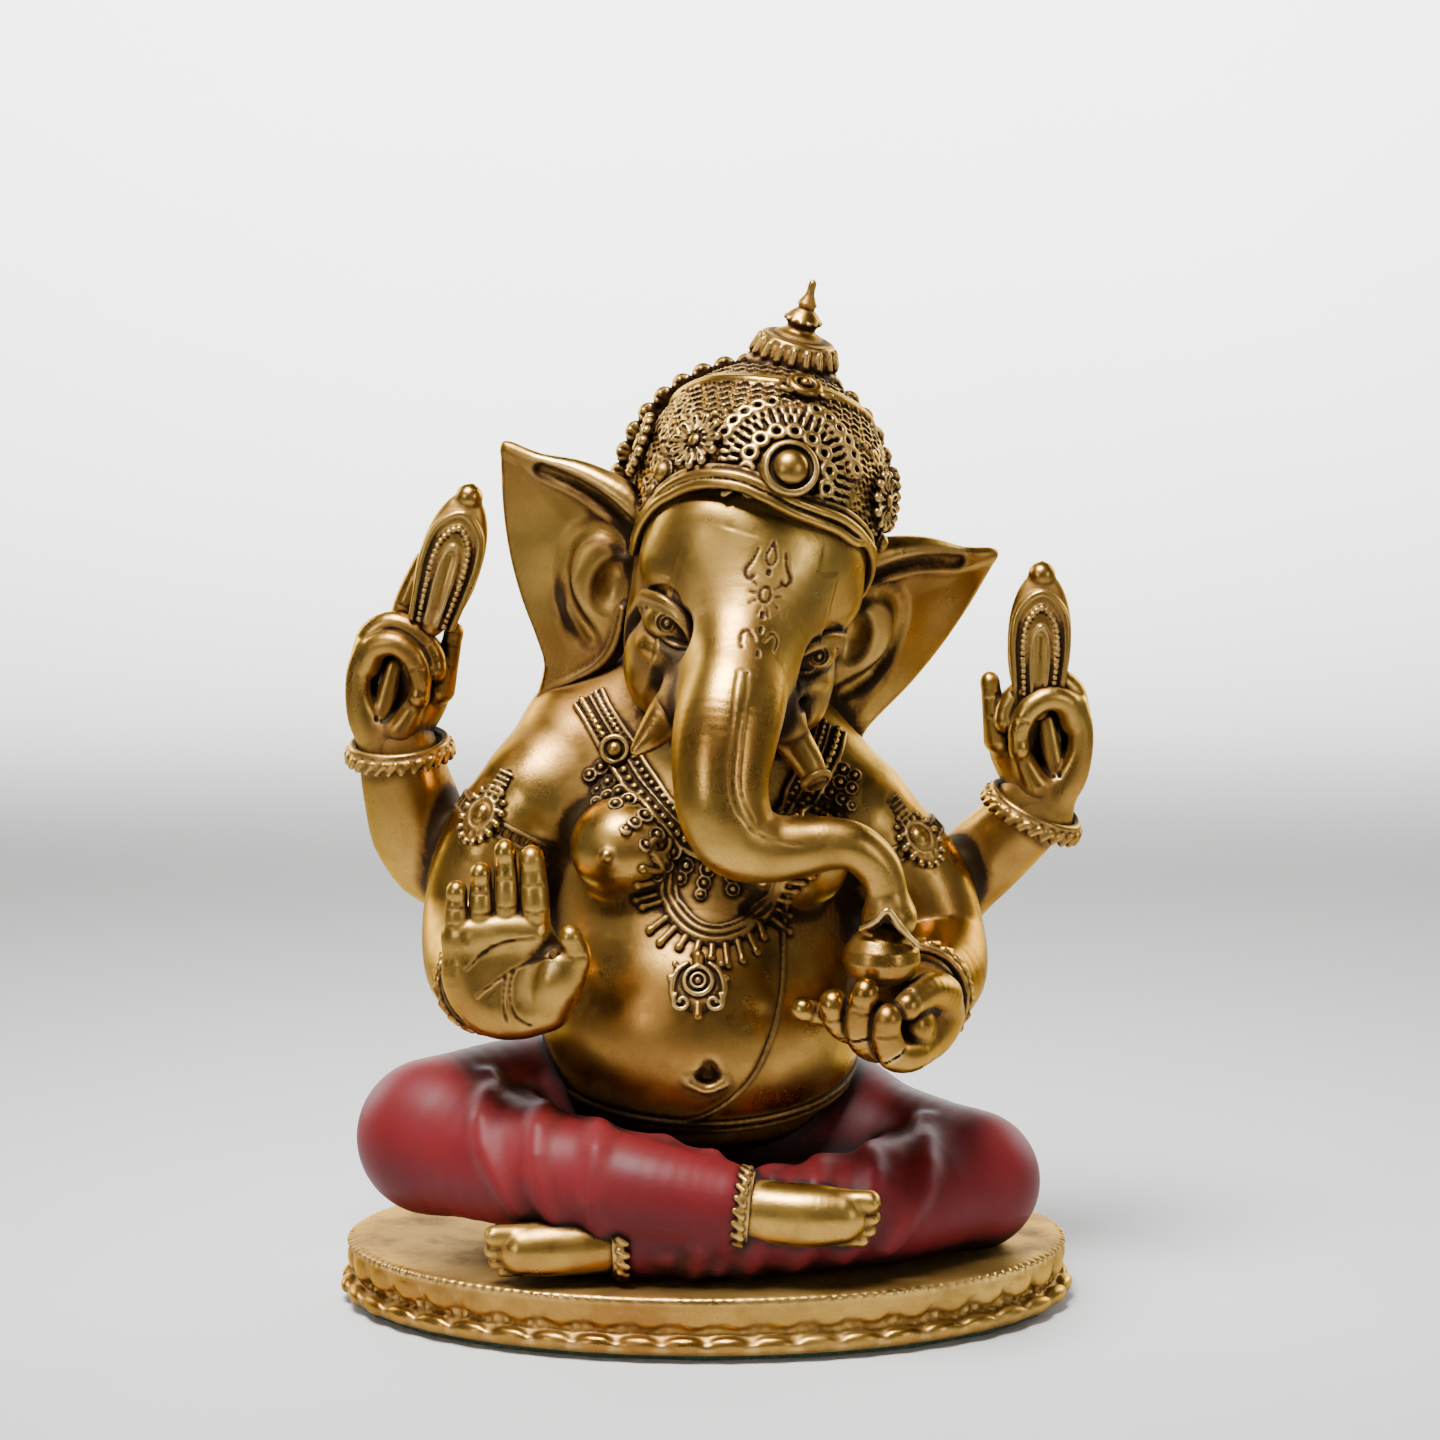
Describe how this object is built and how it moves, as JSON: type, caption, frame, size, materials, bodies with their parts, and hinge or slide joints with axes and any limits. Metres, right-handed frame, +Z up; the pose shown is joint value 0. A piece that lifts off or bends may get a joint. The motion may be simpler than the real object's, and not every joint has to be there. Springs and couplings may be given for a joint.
{
  "type": "elephant-headed deity idol",
  "caption": "Seated elephant-headed four-armed devotional idol in antique gold with a red wrapped garment, on an oval plinth, placed on a shelf or altar for prayer.",
  "frame": {"origin": "centre of the felt pad's underside, on the surface the idol stands on, under the middle of the figure's body (the plinth's own centre is 13 mm forward, on -Y)", "axes": "+Z up along the seated figure, from the pad to the crown's tip; -Y the way the figure faces; +X towards the figure's own left hand, the one that holds the sweet"},
  "size_m": [0.1678, 0.1107, 0.2245],
  "materials": {
    "gold": "cold-cast resin with an antique gold coat, satin, dark patina in the hollows",
    "gold_dark": "the same antique gold coat with heavier dark patina in the relief",
    "gold_trim": "raised ornament, antique gold with the high points rubbed bright",
    "red_cloth": "dark crimson satin paint with black wash in the folds",
    "felt": "thin dark green felt",
    "steel": "plain steel dowel, hidden inside the joint"
  },
  "bodies": {
    "root": {"neck_pin": "steel", "finial_pin": "steel", "rear_arm_pin_right": "steel", "rear_arm_pin_left": "steel", "finial_ring": "gold_dark", "finial_spire": "gold_dark", "crown_medallion": "gold_trim", "crown_loop": "gold_trim", "crown_flower_right": "gold_trim", "crown_flower_left": "gold_trim", "side_disc_right": "gold_trim", "side_disc_left": "gold_trim", "crown_brim": "gold_trim", "bead_string_right": "gold_trim", "bead_string_left": "gold_trim", "crown_halo": "gold_dark", "crown_dome": "gold_dark", "eye_right": "gold", "eye_left": "gold", "tusk_right": "gold", "tusk_left": "gold", "tusk_band": "gold_trim", "ear_right": "gold", "ear_left": "gold", "head": "gold", "trunk": "gold", "modak": "gold", "brooch": "gold_trim", "pendant": "gold_trim", "long_necklace": "gold_trim", "collar_necklace": "gold_trim", "sacred_thread": "gold_trim", "waist_hem": "gold_trim", "bud_right": "gold_trim", "bud_left": "gold_trim", "rear_bangle_right": "gold_trim", "rear_bangle_left": "gold_trim", "rear_hand_right": "gold", "rear_hand_left": "gold", "front_hand_right": "gold", "front_hand_left": "gold", "front_bangle_right": "gold_trim", "front_bangle_left": "gold_trim", "armlet_right": "gold_trim", "armlet_left": "gold_trim", "front_arm_right": "gold", "front_arm_left": "gold", "rear_arm_right": "gold", "rear_arm_left": "gold", "anklet_right": "gold_trim", "anklet_left": "gold_trim", "foot_right": "gold", "foot_left": "gold", "torso": "gold", "dhoti_legs": "red_cloth", "plinth": "gold_dark", "felt_pad": "felt"}
  },
  "joints": []
}
